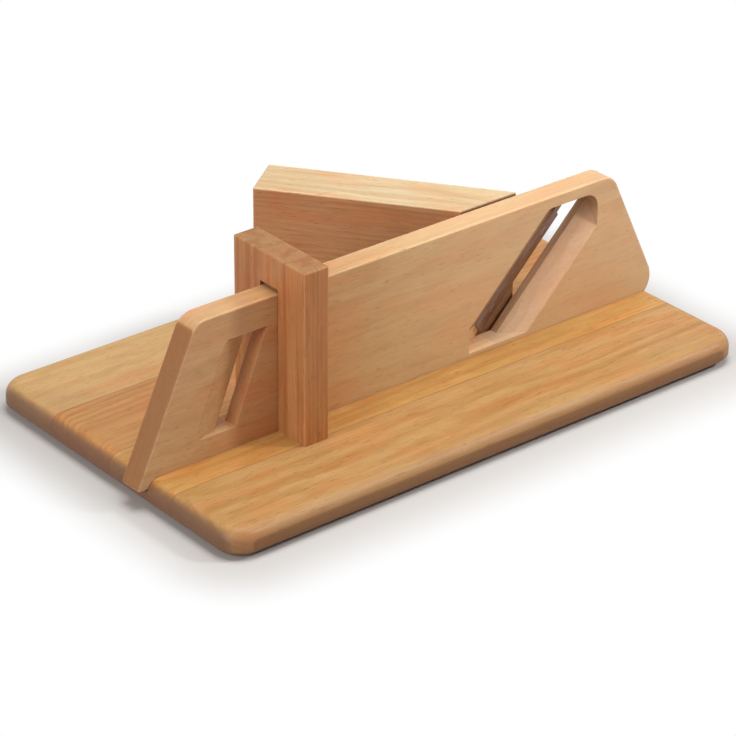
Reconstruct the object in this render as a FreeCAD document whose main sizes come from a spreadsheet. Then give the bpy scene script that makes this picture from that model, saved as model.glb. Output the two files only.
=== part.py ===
"""Manual salami slicer: a sliding plank with a slanted blade, led over a wooden board.

X runs along the board, Y across it to the back and Z up. The origin is on the surface
that the slicer stands on, under the middle of the whole slicer: the plank's heel passes
the board's left end, so the board's own middle is a little to the right of it. Lengths
are in millimetres and angles in degrees. "Rise" and "height" sizes of what stands on the board are
measured from the board's top.
"""

import FreeCAD
import Part
import os
import re

import Sketcher

# Driving sizes: name, number, meaning
SIZES = [
    ("board_length", 360.0, "board, long side"),
    ("board_width", 218.0, "board, short side, four staves together"),
    ("board_thick", 15.0, "board, thickness"),
    ("board_corner", 16.0, "board, radius of its corners in plan"),
    ("board_round", 8.0, "board, rounding of the upper edge"),
    ("board_bevel", 3.0, "board, bevel of the lower edge"),
    ("foot_height", 2.0, "soft foot, height"),
    ("foot_radius", 6.5, "soft foot, radius"),
    ("foot_inset", 24.0, "soft foot, middle from the board's sides"),
    ("groove_depth", 6.0, "groove for the plank, depth"),
    ("groove_gap", 0.3, "clearance on each side of the plank in the groove"),
    ("floor_gap", 0.2, "clearance under the plank in the groove"),
    ("plank_thick", 14.5, "plank, thickness"),
    ("plank_rise", 81.5, "plank, top above the board"),
    ("plank_over", 5.4, "plank, how far its right end passes the board's at the board's top"),
    ("plank_lean", 25.7, "plank, lean of its right end from upright"),
    ("heel_over", 3.9, "plank, how far its left end passes the board's at the board's top"),
    ("heel_lean", 24.6, "plank, lean of its left end from upright"),
    ("plank_top_round", 12.0, "plank, radius of the upper corners"),
    ("plank_foot_round", 14.5, "plank, radius of the right lower corner"),
    ("heel_round", 2.0, "plank, radius of the left lower corner"),
    ("edge_ease", 1.0, "rounding of the wooden edges"),
    ("post_thick", 16.0, "guide post, size along the plank"),
    ("post_width", 61.0, "guide post, size across the plank"),
    ("post_bridge", 18.0, "guide post, wood over its slot"),
    ("post_inset", 94.3, "guide post, its middle from the board's end"),
    ("post_side_gap", 0.4, "clearance on each side of the plank in the post"),
    ("post_over_gap", 2.5, "clearance over the plank in the post"),
    ("fence_thick", 33.0, "fence, thickness"),
    ("fence_angle", 53.4, "fence, angle to the plank"),
    ("fence_inset", 30.7, "fence, far end of its front face from the board's long side"),
    ("fence_lead", 7.4, "fence, its tip past the lower end of the mouth"),
    ("fence_gap", 2.2, "clearance from the fence's end to the plank"),
    ("mouth_tilt", 45.0, "mouth, lean from upright"),
    ("mouth_margin", 11.2, "mouth, wood beside its upper corner, level with the plank's top"),
    ("mouth_span", 94.5, "mouth, length"),
    ("mouth_heel", 17.5, "mouth, top of its upright lower end above the board"),
    ("mouth_bottom", 2.0, "mouth, floor above the board"),
    ("mouth_roof", 7.0, "mouth, wood left over it"),
    ("mouth_gap", 8.2, "mouth, width at the back of the plank"),
    ("mouth_round", 5.0, "mouth, radius of the corner over the bed"),
    ("mouth_hook", 9.0, "mouth, radius of the corner over the ramp"),
    ("lip_thick", 4.8, "wood left behind the ramp"),
    ("ramp_reach", 10.3, "ramp, width on the front of the plank"),
    ("bed_angle", 32.0, "blade's bed, angle to the plank's face"),
    ("blade_width", 22.0, "blade, back to edge"),
    ("blade_thick", 1.5, "blade, thickness"),
    ("blade_bevel", 4.0, "blade, width of the ground bevel"),
    ("blade_land", 0.15, "blade, thickness left at the edge"),
    ("blade_proud", 1.2, "blade, how far its edge stands behind the plank"),
    ("blade_lift", 1.0, "clearance from the mouth's floor to the edge's lower end"),
    ("blade_room", 2.0, "clearance from the mouth's roof to the blade's back"),
    ("clamp_back", 16.0, "blade screw, middle from the edge"),
    ("clamp_end", 14.0, "blade screw, middle from the blade's end"),
    ("clamp_shank", 1.5, "blade screw, shank radius"),
    ("clamp_head", 2.8, "blade screw, head radius"),
    ("clamp_length", 7.5, "blade screw, whole length"),
    ("grip_tilt", 21.8, "grip slot, lean from upright"),
    ("grip_margin", 29.9, "grip slot, wood between it and the plank's end at the board's top"),
    ("grip_gap", 9.5, "grip slot, width between its walls"),
    ("grip_bottom", 12.0, "grip slot, floor above the board"),
    ("grip_roof", 16.5, "grip slot, wood left over it"),
    ("grip_ease", 16.0, "grip slot, width of each eased side"),
    ("grip_dip", 5.0, "grip slot, depth of each eased side"),
    ("grip_round", 4.0, "grip slot, radius of its corners"),
    ("screw_shank", 2.0, "wood screw, shank radius"),
    ("screw_head", 4.0, "wood screw, head radius"),
    ("screw_length", 38.0, "wood screw, whole length"),
    ("screw_sink", 0.5, "wood screw, head below the board's underside"),
    ("screw_fit", 0.05, "clearance round a screw"),
    ("fence_screw_inset", 28.0, "screw of the fence, distance from the end of its front face"),
]

# Sizes worked out from those
WORKED_OUT = [
    ("board_top", "=foot_height + board_thick", "Z of the board's top"),
    ("tongue", "=groove_depth - floor_gap", "plank below the board's top"),
    ("heel_reach",
     "=heel_over + tongue * tan(heel_lean) - heel_round * (tan(heel_lean) + 1 / cos(heel_lean) - 1)",
     "how far the plank's rounded heel passes the board's end"),
    ("board_place", "=heel_reach / 2", "X of the board's middle"),
    ("board_left", "=board_place - board_length / 2", "X of the board's left end"),
    ("board_right", "=board_place + board_length / 2", "X of the board's right end"),
    ("stave_width", "=board_width / 4", "width of one stave"),
    ("plank_place", "=-stave_width / 2", "Y of the plank's middle plane"),
    ("plank_front", "=plank_place - plank_thick / 2", "Y of the plank's front face"),
    ("plank_back", "=plank_place + plank_thick / 2", "Y of the plank's back face"),
    ("plank_foot", "=board_right + plank_over", "X of the plank's right end at the board's top"),
    ("plank_head", "=plank_foot - plank_rise * tan(plank_lean)", "X of the same end at the plank's top"),
    ("heel_foot", "=board_left - heel_over", "X of the plank's left end at the board's top"),
    ("heel_head", "=heel_foot + plank_rise * tan(heel_lean)", "X of the same end at the plank's top"),
    ("post_place", "=board_left + post_inset", "X of the post's middle"),
    ("slot_half", "=plank_thick / 2 + post_side_gap", "half the slot in the post"),
    ("slot_roof", "=plank_rise + post_over_gap", "roof of the slot above the board"),
    ("leg_middle", "=(post_width / 2 + slot_half) / 2", "middle of a leg from the plank's"),
    ("mouth_right", "=plank_head - mouth_margin", "X of the mouth's upper end"),
    ("mouth_left", "=mouth_right - mouth_span", "X of the mouth's lower end"),
    ("mouth_foot", "=mouth_left - mouth_heel * tan(mouth_tilt)", "X of the bed's line at the board's top"),
    ("mouth_top", "=plank_rise - mouth_roof", "mouth's roof above the board"),
    ("bed_reach", "=plank_thick / tan(bed_angle)", "bed, width seen from the front"),
    ("lip_depth", "=plank_thick - lip_thick", "depth of the ramp at the lip"),
    ("edge_reach", "=(plank_thick + blade_proud) / tan(bed_angle)", "edge, from the bed's start"),
    ("edge_slope", "=(plank_thick + blade_proud) / sin(bed_angle)", "the same along the bed"),
    ("blade_start",
     "=(mouth_bottom + blade_lift + edge_reach * sin(mouth_tilt)) / cos(mouth_tilt)",
     "blade's lower end, along the slot"),
    ("back_reach", "=edge_reach - blade_width * cos(bed_angle)", "blade's back, from the bed's start"),
    ("blade_length",
     "=(mouth_top - blade_room + back_reach * sin(mouth_tilt)) / cos(mouth_tilt) - blade_start",
     "length of the blade's edge"),
    ("grip_foot",
     "=heel_foot + grip_margin + grip_ease / cos(grip_tilt)",
     "X of the line of the grip's left wall at the board's top"),
    ("grip_top", "=plank_rise - grip_roof", "grip slot's roof above the board"),
    ("fence_end", "=plank_back + fence_gap", "Y of the fence's end face"),
    ("fence_start_y", "=board_width / 2 - fence_inset", "Y of the fence's front face at the far end"),
    ("fence_start_x",
     "=mouth_left + fence_lead - (fence_start_y - fence_end) / tan(fence_angle)",
     "X of the fence's front face at the far end"),
    ("fence_length", "=(fence_start_y - fence_end) / sin(fence_angle)", "length of the fence's front face"),
]

NAMES = {name for name, _, _ in SIZES + WORKED_OUT}

# How far the cutting solids run past the faces that they cut
OVER = 1.0

# Staves glued edge to edge in the board
STAVES = 4


def bound(text):
    """Write an expression in the sizes' names as one that other objects can use."""
    return re.sub(r"[a-z_]+", lambda word: "Sizes." + word[0] if word[0] in NAMES else word[0], text)


def number(text):
    """The present value of an expression in the sizes' names."""
    return float(sheet.evalExpression(text))


def bind(thing, **cells):
    """Tie properties of an object to expressions in the sizes' names."""
    for name, text in cells.items():
        thing.setExpression(name.replace("__", "."), bound(text))


def place(thing, across="0", deep="0", up="0", frame=None, turn=None):
    """Tie an object's placement to a point, in a frame kept beside the sizes if one is named."""
    spot = f"placement(vector({across}; {deep}; {up}); {turn or 'rotation(vector(0; 0; 1); 0)'})"
    thing.setExpression("Placement", (f"Sizes.{frame} * " if frame else "") + bound(spot))


def add_frame(name, across, deep, up, turn):
    """Keep a frame beside the sizes, for what is easier to draw square to a slanted slot."""
    sheet.addProperty("App::PropertyPlacement", name)
    sheet.setExpression(name, f"placement(vector({across}; {deep}; {up}); {turn})")


def draw(sketch, corners):
    """Draw a closed outline with straight sides and tie each corner to the sizes."""
    points = [FreeCAD.Vector(number(across), number(up), 0) for across, up in corners]
    for start, end in zip(points, points[1:] + points[:1]):
        sketch.addGeometry(Part.LineSegment(start, end))
    for index in range(len(points)):
        following = (index + 1) % len(points)
        sketch.addConstraint(Sketcher.Constraint("Coincident", index, 2, following, 1))
    for index, corner in enumerate(corners):
        for kind, text in zip(("DistanceX", "DistanceY"), corner):
            made = sketch.addConstraint(Sketcher.Constraint(kind, -1, 1, index, 1, number(text)))
            sketch.setExpression(f"Constraints[{made}]", bound(text))
    return sketch


def body(name):
    """An empty body."""
    return doc.addObject("PartDesign::Body", name)


def pad(owner, role, corners, length, symmetric=False):
    """Pad an outline drawn on one of the body's own planes."""
    plane = next(part for part in owner.Origin.OriginFeatures if part.Role == role)
    sketch = owner.newObject("Sketcher::SketchObject", owner.Name + "Outline")
    sketch.AttachmentSupport = [(plane, "")]
    sketch.MapMode = "FlatFace"
    draw(sketch, corners)
    solid = owner.newObject("PartDesign::Pad", owner.Name + "Pad")
    solid.Profile = sketch
    bind(solid, Length=length)
    if symmetric:
        solid.SideType = "Symmetric"
    doc.recompute()
    return solid


def flat_at(edge, axis, level):
    """Whether an edge lies in a plane square to an axis."""
    box = edge.BoundBox
    low, high = {"X": (box.XMin, box.XMax), "Y": (box.YMin, box.YMax), "Z": (box.ZMin, box.ZMax)}[axis]
    return abs(low - level) < 1e-5 and abs(high - level) < 1e-5


def along(edge, axis):
    """Whether an edge is straight and runs along an axis."""
    if edge.Curve.TypeId != "Part::GeomLine":
        return False
    return abs(edge.tangentAt(edge.FirstParameter).dot(axis)) > 0.9999


def work_edges(owner, kind, chosen, **cells):
    """Fillet or chamfer the edges of a body's newest feature that a test picks."""
    newest = owner.Tip
    names = [f"Edge{index}" for index, edge in enumerate(newest.Shape.Edges, start=1) if chosen(edge)]
    feature = owner.newObject("PartDesign::" + kind, owner.Name + kind)
    feature.Base = (newest, names)
    bind(feature, **cells)
    doc.recompute()
    return feature


def round_corner(owner, corner, radius):
    """Round one corner of an outline that was padded across the plank."""
    across, up = (number(text) for text in corner)
    spot = FreeCAD.Vector(across, 0, up)

    def chosen(edge):
        middle = edge.BoundBox.Center
        return along(edge, FreeCAD.Vector(0, 1, 0)) and middle.distanceToPoint(spot) < 1e-4

    return work_edges(owner, "Fillet", chosen, Radius=radius)


def part(kind, name, **settings):
    """A primitive or a boolean of solids."""
    made = doc.addObject("Part::" + kind, name)
    for key, setting in settings.items():
        setattr(made, key, setting)
    return made


def block(name, size, corner):
    """A box with its sizes and its lowest corner tied to the sizes."""
    box = part("Box", name)
    bind(box, Length=size[0], Width=size[1], Height=size[2])
    place(box, *corner)
    return box


def rectangle(wide, tall):
    """Corners of a rectangle about the origin."""
    half_wide, half_tall = f"{wide} / 2", f"{tall} / 2"
    return [
        ("-" + half_wide, "-" + half_tall),
        (half_wide, "-" + half_tall),
        (half_wide, half_tall),
        ("-" + half_wide, half_tall),
    ]


def screw(name, spot, sizes, gap="0", **frame):
    """A countersunk screw or, with a gap, the hole it sits in: the head's rim is at the spot."""
    shank, head, length = sizes
    turn = frame.pop("turn", None)
    base = frame.pop("frame", None)
    cone = part("Cone", name + "Head")
    bind(cone, Radius1=f"{head} + {gap}", Radius2=f"{shank} + {gap}", Height=f"{head} - {shank}")
    stem = part("Cylinder", name + "Stem")
    bind(stem, Radius=f"{shank} + {gap}", Height=f"{length} + {gap}")
    pieces = [cone, stem]
    if gap != "0":
        mouth = part("Cylinder", name + "Mouth")
        bind(mouth, Radius=f"{head} + {gap}", Height=f"{OVER}")
        pieces.append(mouth)
    fused = part("MultiFuse", name, Shapes=pieces)
    if gap != "0":
        place(mouth, up=f"-{OVER}")
    place(fused, *spot, frame=base, turn=turn)
    return fused


def make_board():
    """The board: staves cut from one slab with its edges worked, a groove and screw holes."""
    slab = body("Slab")
    pad(slab, "XY_Plane", rectangle("board_length", "board_width"), "board_thick")
    thick = number("board_thick")
    work_edges(slab, "Fillet", lambda edge: along(edge, FreeCAD.Vector(0, 0, 1)), Radius="board_corner")
    work_edges(slab, "Fillet", lambda edge: flat_at(edge, "Z", thick), Radius="board_round")
    work_edges(slab, "Chamfer", lambda edge: flat_at(edge, "Z", 0), Size="board_bevel")
    place(slab, across="board_place", up="foot_height")
    groove = block(
        "Groove",
        (f"board_length + 2 * {OVER}", "plank_thick + 2 * groove_gap", f"groove_depth + {OVER}"),
        (f"board_left - {OVER}", "plank_front - groove_gap", "board_top - groove_depth"),
    )
    holes = [hole for _, hole in wood_screws]
    worked = part("Cut", "WorkedSlab", Base=slab, Tool=part("MultiFuse", "BoardCuts", Shapes=[groove] + holes))
    for index in range(STAVES):
        strip = block(
            f"Strip{index + 1}",
            ("board_length", "stave_width", "board_thick"),
            ("board_left", f"-board_width / 2 + {index} * stave_width", "foot_height"),
        )
        stave = part("MultiCommon", f"Stave{index + 1}", Shapes=[worked, strip])
        nodes[f"board_stave_{index + 1}"] = stave


def make_feet():
    """Four soft feet under the board's corners."""
    feet = []
    for index, (side, end) in enumerate([(-1, -1), (1, -1), (1, 1), (-1, 1)]):
        foot = part("Cylinder", f"Foot{index + 1}")
        bind(foot, Radius="foot_radius", Height="foot_height")
        across = f"board_place + {side} * (board_length / 2 - foot_inset)"
        place(foot, across, f"{end} * (board_width / 2 - foot_inset)")
        feet.append(foot)
    nodes["rubber_feet"] = part("Compound", "Feet", Links=feet)


def make_post():
    """The guide post: two legs and a bridge over the plank, sawn from one piece."""
    post = body("Post")
    half = "post_width / 2"
    top = "slot_roof + post_bridge"
    corners = [
        ("-" + half, "0"),
        ("-slot_half", "0"),
        ("-slot_half", "slot_roof"),
        ("slot_half", "slot_roof"),
        ("slot_half", "0"),
        (half, "0"),
        (half, top),
        ("-" + half, top),
    ]
    pad(post, "YZ_Plane", corners, "post_thick", symmetric=True)
    side, roof = number(half), number(top)
    outer = [
        lambda edge: flat_at(edge, "Y", side) and along(edge, FreeCAD.Vector(0, 0, 1)),
        lambda edge: flat_at(edge, "Y", -side) and along(edge, FreeCAD.Vector(0, 0, 1)),
        lambda edge: flat_at(edge, "Z", roof),
    ]
    work_edges(post, "Fillet", lambda edge: any(test(edge) for test in outer), Radius="edge_ease")
    place(post, "post_place", "plank_place", "board_top")
    nodes["guide_post"] = part("Cut", "DrilledPost", Base=post, Tool=bored(wood_screws[:2], "PostHoles"))


def make_fence():
    """The fence: a thick block at an angle, with its end cut parallel to the plank."""
    fence = body("Fence")
    back_x = "fence_start_x + fence_thick * sin(fence_angle)"
    back_y = "fence_start_y + fence_thick * cos(fence_angle)"
    corners = [
        ("fence_start_x", "fence_start_y"),
        ("fence_start_x + (fence_start_y - fence_end) / tan(fence_angle)", "fence_end"),
        (f"{back_x} + ({back_y} - fence_end) / tan(fence_angle)", "fence_end"),
        (back_x, back_y),
    ]
    pad(fence, "XY_Plane", corners, "plank_rise")
    top = number("plank_rise")
    work_edges(
        fence, "Fillet",
        lambda edge: flat_at(edge, "Z", top) or along(edge, FreeCAD.Vector(0, 0, 1)),
        Radius="edge_ease",
    )
    place(fence, up="board_top")
    nodes["fence_block"] = part("Cut", "DrilledFence", Base=fence, Tool=bored(wood_screws[2:], "FenceHoles"))


def make_wood_screws():
    """Where the post and the fence are screwed on from below: each screw with its hole."""
    along_x = "fence_start_x + {0} * cos(fence_angle) + fence_thick / 2 * sin(fence_angle)"
    along_y = "fence_start_y - {0} * sin(fence_angle) + fence_thick / 2 * cos(fence_angle)"
    far = "fence_screw_inset"
    near = "(fence_length - fence_screw_inset)"
    spots = [
        ("post_place", "plank_place - leg_middle"),
        ("post_place", "plank_place + leg_middle"),
        (along_x.format(far), along_y.format(far)),
        (along_x.format(near), along_y.format(near)),
    ]
    sizes = ("screw_shank", "screw_head", "screw_length")
    made = []
    for index, spot in enumerate(spots):
        where = spot + ("foot_height + screw_sink",)
        solid = screw(f"Screw{index + 1}", where, sizes)
        hole = screw(f"ScrewHole{index + 1}", where, sizes, gap="screw_fit")
        made.append((solid, hole))
    nodes["wood_screws"] = part("Compound", "WoodScrews", Links=[solid for solid, _ in made])
    return made


def bored(pairs, name):
    """The holes of some screws as one cutting solid."""
    return part("MultiFuse", name, Shapes=[hole for _, hole in pairs])


def slanted_cut(name, frame, section, window):
    """A cut drawn square to a slanted slot and kept inside an outline on the plank's face."""
    sketch = draw(doc.addObject("Sketcher::SketchObject", name + "Section"), section)
    sketch.setExpression("Placement", f"Sizes.{frame}")
    prism = part("Extrusion", name + "Prism", Base=sketch, DirMode="Normal", Solid=True)
    bind(prism, LengthFwd="2 * plank_rise", LengthRev="plank_rise")
    return part("MultiCommon", name, Shapes=[prism, window])


def make_window(name, corners, rounds):
    """A slab through the plank with an outline on its face and some corners rounded."""
    window = body(name)
    pad(window, "XZ_Plane", corners, f"plank_thick + 2 * {OVER}", symmetric=True)
    for corner, radius in rounds:
        round_corner(window, corners[corner], radius)
    place(window, "0", "plank_place", "board_top")
    return window


def mouth_cut():
    """The mouth: the blade's bed on the left, a throat, a thin lip and a ramp on the right."""
    front = f"bed_reach + mouth_gap + ramp_reach * (1 + {OVER} / lip_depth)"
    section = [
        (f"-{OVER} / tan(bed_angle)", f"-{OVER}"),
        (front, f"-{OVER}"),
        ("bed_reach + mouth_gap", "lip_depth"),
        ("bed_reach + mouth_gap", f"plank_thick + {OVER}"),
        (f"(plank_thick + {OVER}) / tan(bed_angle)", f"plank_thick + {OVER}"),
    ]
    corners = [
        ("mouth_left", "mouth_bottom"),
        ("mouth_right", "mouth_bottom"),
        ("mouth_right", "mouth_top"),
        ("mouth_foot + mouth_top * tan(mouth_tilt)", "mouth_top"),
        ("mouth_left", "mouth_heel"),
    ]
    window = make_window("MouthWindow", corners, [(2, "mouth_hook"), (3, "mouth_round")])
    return slanted_cut("Mouth", "MouthFrame", section, window)


def grip_cut():
    """The grip slot: seen from either face its left side is eased for the fingers."""
    far = f"grip_ease * (1 + {OVER} / grip_dip)"
    section = [
        (f"-{far}", f"-{OVER}"),
        ("grip_gap", f"-{OVER}"),
        ("grip_gap", "plank_thick - grip_dip"),
        (f"grip_gap + {far}", f"plank_thick + {OVER}"),
        ("0", f"plank_thick + {OVER}"),
        ("0", "grip_dip"),
    ]
    left = "grip_foot - grip_ease / cos(grip_tilt)"
    right = "grip_foot + (grip_gap + grip_ease) / cos(grip_tilt)"
    corners = [
        (f"{left} + grip_bottom * tan(grip_tilt)", "grip_bottom"),
        (f"{right} + grip_bottom * tan(grip_tilt)", "grip_bottom"),
        (f"{right} + grip_top * tan(grip_tilt)", "grip_top"),
        (f"{left} + grip_top * tan(grip_tilt)", "grip_top"),
    ]
    window = make_window("GripWindow", corners, [(corner, "grip_round") for corner in range(4)])
    return slanted_cut("Grip", "GripFrame", section, window)


def make_plank():
    """The sliding plank: a trapezoid with a tongue in the groove, a mouth and a grip slot."""
    plank = body("Plank")
    corners = [
        ("heel_foot - tongue * tan(heel_lean)", "-tongue"),
        ("plank_foot + tongue * tan(plank_lean)", "-tongue"),
        ("plank_head", "plank_rise"),
        ("heel_head", "plank_rise"),
    ]
    pad(plank, "XZ_Plane", corners, "plank_thick", symmetric=True)
    side = number("plank_thick / 2")
    round_corner(plank, corners[0], "heel_round")
    round_corner(plank, corners[1], "plank_foot_round")
    round_corner(plank, corners[2], "plank_top_round")
    round_corner(plank, corners[3], "plank_top_round")
    work_edges(
        plank, "Fillet",
        lambda edge: flat_at(edge, "Y", side) or flat_at(edge, "Y", -side),
        Radius="edge_ease",
    )
    place(plank, "0", "plank_place", "board_top")
    cuts = part("MultiFuse", "PlankCuts", Shapes=[mouth_cut(), grip_cut()] + [hole for _, hole in clamps])
    nodes["slide_plank"] = part("Cut", "CutPlank", Base=plank, Tool=cuts)


def make_clamps():
    """The two screws that hold the blade on its bed: each with its hole."""
    sizes = ("clamp_shank", "clamp_head", "clamp_length")
    ends = ["blade_start + clamp_end", "blade_start + blade_length - clamp_end"]
    made = []
    for index, end in enumerate(ends):
        where = ("edge_slope - clamp_back", "-blade_thick", end)
        setting = {"frame": "BedFrame", "turn": "rotation(vector(1; 0; 0); -90)"}
        solid = screw(f"Clamp{index + 1}", where, sizes, **setting)
        hole = screw(f"ClampHole{index + 1}", where, sizes, gap="screw_fit", **setting)
        made.append((solid, hole))
    nodes["blade_screws"] = part("Compound", "BladeScrews", Links=[solid for solid, _ in made])
    return made


def make_blade():
    """The blade: a strip of steel flat on the bed, with its bevel on the upper side."""
    section = [
        ("edge_slope", "0"),
        ("edge_slope", "-blade_land"),
        ("edge_slope - blade_bevel", "-blade_thick"),
        ("edge_slope - blade_width", "-blade_thick"),
        ("edge_slope - blade_width", "0"),
    ]
    sketch = draw(doc.addObject("Sketcher::SketchObject", "BladeSection"), section)
    place(sketch, up="blade_start", frame="BedFrame")
    strip = part("Extrusion", "BladeStrip", Base=sketch, DirMode="Normal", Solid=True)
    bind(strip, LengthFwd="blade_length")
    nodes["blade"] = part("Cut", "DrilledBlade", Base=strip, Tool=bored(clamps, "BladeHoles"))


def check(objects):
    """Stop on anything that failed to build."""
    for thing in objects:
        if "Invalid" in thing.State or "Error" in thing.State:
            raise RuntimeError(f"{thing.Name} failed: {thing.State}")
    for name, thing in nodes.items():
        if thing.Shape.isNull() or not thing.Shape.isValid() or not thing.Shape.Solids:
            raise RuntimeError(f"{name} has no valid solid")


doc = FreeCAD.newDocument("SalamiSlicer")
sheet = doc.addObject("Spreadsheet::Sheet", "Sizes")
for row, (name, content, meaning) in enumerate(SIZES + WORKED_OUT, start=1):
    sheet.set(f"A{row}", meaning)
    sheet.set(f"B{row}", str(content))
    sheet.setAlias(f"B{row}", name)
doc.recompute()

# Frames on the plank's front face: X square to the slot, Y into the wood, Z along the slot
lean = "rotation(vector(0; 1; 0); {0})"
add_frame("MouthFrame", "mouth_foot", "plank_front", "board_top", lean.format("mouth_tilt"))
add_frame("GripFrame", "grip_foot", "plank_front", "board_top", lean.format("grip_tilt"))
# The same turned onto the blade's bed: X down the bed to the edge, Y into the wood
bed = lean.format("mouth_tilt") + " * rotation(vector(0; 0; 1); bed_angle)"
add_frame("BedFrame", "mouth_foot", "plank_front", "board_top", bed)
doc.recompute()

nodes = {}
wood_screws = make_wood_screws()
clamps = make_clamps()
make_board()
make_feet()
make_post()
make_fence()
make_plank()
make_blade()
doc.recompute()
for name, thing in nodes.items():
    thing.Label = name
check(doc.Objects)

os.makedirs("parts", exist_ok=True)
for name, thing in nodes.items():
    thing.Shape.exportStep(f"parts/{name}.step")
    box = thing.Shape.BoundBox
    print(
        f"{name}: {len(thing.Shape.Solids)} solid(s), {thing.Shape.Volume / 1000:.1f} cm3, "
        f"X {box.XMin:.1f}..{box.XMax:.1f}, Y {box.YMin:.1f}..{box.YMax:.1f}, Z {box.ZMin:.1f}..{box.ZMax:.1f}"
    )
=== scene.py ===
# %% [markdown]
# # A wooden salami slicer
#
# The slicer works like a carpenter's plane. A plank slides in a groove along a board, under a
# guide post, and carries a slanted blade past a fence that holds the sausage. The shapes come
# packed from the CAD model. This notebook gives them their wood, steel and rubber, adds the small
# hardware, and sets up the studio.

# %% Load the frame
import math

import bpy
from mathutils import Matrix, Vector


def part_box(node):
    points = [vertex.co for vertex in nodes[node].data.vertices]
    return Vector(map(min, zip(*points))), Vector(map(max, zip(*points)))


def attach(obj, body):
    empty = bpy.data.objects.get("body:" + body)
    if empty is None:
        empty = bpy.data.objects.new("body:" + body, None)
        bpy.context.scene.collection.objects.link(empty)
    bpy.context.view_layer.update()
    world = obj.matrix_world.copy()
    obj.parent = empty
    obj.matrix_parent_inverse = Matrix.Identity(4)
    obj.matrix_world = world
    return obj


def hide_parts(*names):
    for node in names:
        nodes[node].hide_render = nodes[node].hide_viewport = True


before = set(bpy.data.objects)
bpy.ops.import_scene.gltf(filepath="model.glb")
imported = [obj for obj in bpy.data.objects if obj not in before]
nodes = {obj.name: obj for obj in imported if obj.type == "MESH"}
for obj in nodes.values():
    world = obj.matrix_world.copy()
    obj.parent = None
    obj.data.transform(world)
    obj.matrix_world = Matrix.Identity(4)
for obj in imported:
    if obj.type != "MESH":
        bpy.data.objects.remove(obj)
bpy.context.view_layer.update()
for name, node in nodes.items():
    print(f"{name}: {len(node.data.polygons)} triangles")

MM = 0.001      # the frame is in metres

# %% [markdown]
# ## Places to hang things on
#
# Everything that the notebook adds is placed from the packed parts: the top of the board, the
# faces of the plank, and the bed on which the blade lies. Measuring them here, and not writing
# them down, keeps the additions in place if the model changes.

# %% Measure the packed parts
board_low, board_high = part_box("board_stave_1")
plank_low, plank_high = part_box("slide_plank")
blade_low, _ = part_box("blade")
post_low, post_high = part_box("guide_post")
fence_low, fence_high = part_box("fence_block")
BOARD_TOP = board_high.z
BOARD_MIDDLE = (board_low.x + board_high.x) / 2
HALF_LENGTH = (board_high.x - board_low.x) / 2
HALF_WIDTH = -board_low.y       # stave 1 is the front one, and the board lies evenly about Y = 0
print("board top", round(BOARD_TOP / MM, 1), "mm; middle", round(BOARD_MIDDLE / MM, 2),
      "mm; half length", round(HALF_LENGTH / MM, 1), "mm")

# %% [markdown]
# ## Shader maths as expressions
#
# A wood shader is mostly arithmetic on positions. `Wire` wraps a socket so that this arithmetic
# can be written as Python: `a * b` adds a Math node. Colours go through Mix nodes instead,
# because a Math node would turn them grey. The trees that shape the screws and the feet need the
# same arithmetic, so they use the same class.

# %% Wires


class Wire:
    """A node socket that can be used in an expression."""

    def __init__(self, bench, socket):
        self.bench = bench
        self.socket = socket

    def maths(self, operation, *others):
        return self.bench.node("ShaderNodeMath", {"operation": operation}, self, *others)

    def __add__(self, other):
        return self.maths("ADD", other)

    def __sub__(self, other):
        return self.maths("SUBTRACT", other)

    def __mul__(self, other):
        return self.maths("MULTIPLY", other)

    def __truediv__(self, other):
        return self.maths("DIVIDE", other)

    def __rsub__(self, other):
        return self.bench.node("ShaderNodeMath", {"operation": "SUBTRACT"}, other, self)

    def __rtruediv__(self, other):
        return self.bench.node("ShaderNodeMath", {"operation": "DIVIDE"}, other, self)

    __radd__ = __add__
    __rmul__ = __mul__

    def squared(self):
        return self.maths("POWER", 2.0)

    def root(self):
        return self.maths("SQRT")

    def size(self):
        return self.maths("ABSOLUTE")

    def cycle(self):
        return self.maths("FRACT")

    def larger(self, other):
        return self.maths("MAXIMUM", other)

    def smaller(self, other):
        return self.maths("MINIMUM", other)


print("a wire knows", [name for name in vars(Wire) if not name.startswith("_")])

# %% [markdown]
# Wires come from a bench, which holds one tree. Every node goes through its `node` method: first
# the kind, then the settings, because some of them change which sockets there are, and then the
# sockets' values or links. Positions are read from Object coordinates, so that a pattern stays on
# its piece when the piece moves. Most masks ask the same thing, how far a place lies past a line,
# so `past` takes its distances in millimetres.

# %% The bench
COLOUR_RESULT = 2       # the Mix node's output for colours


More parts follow.
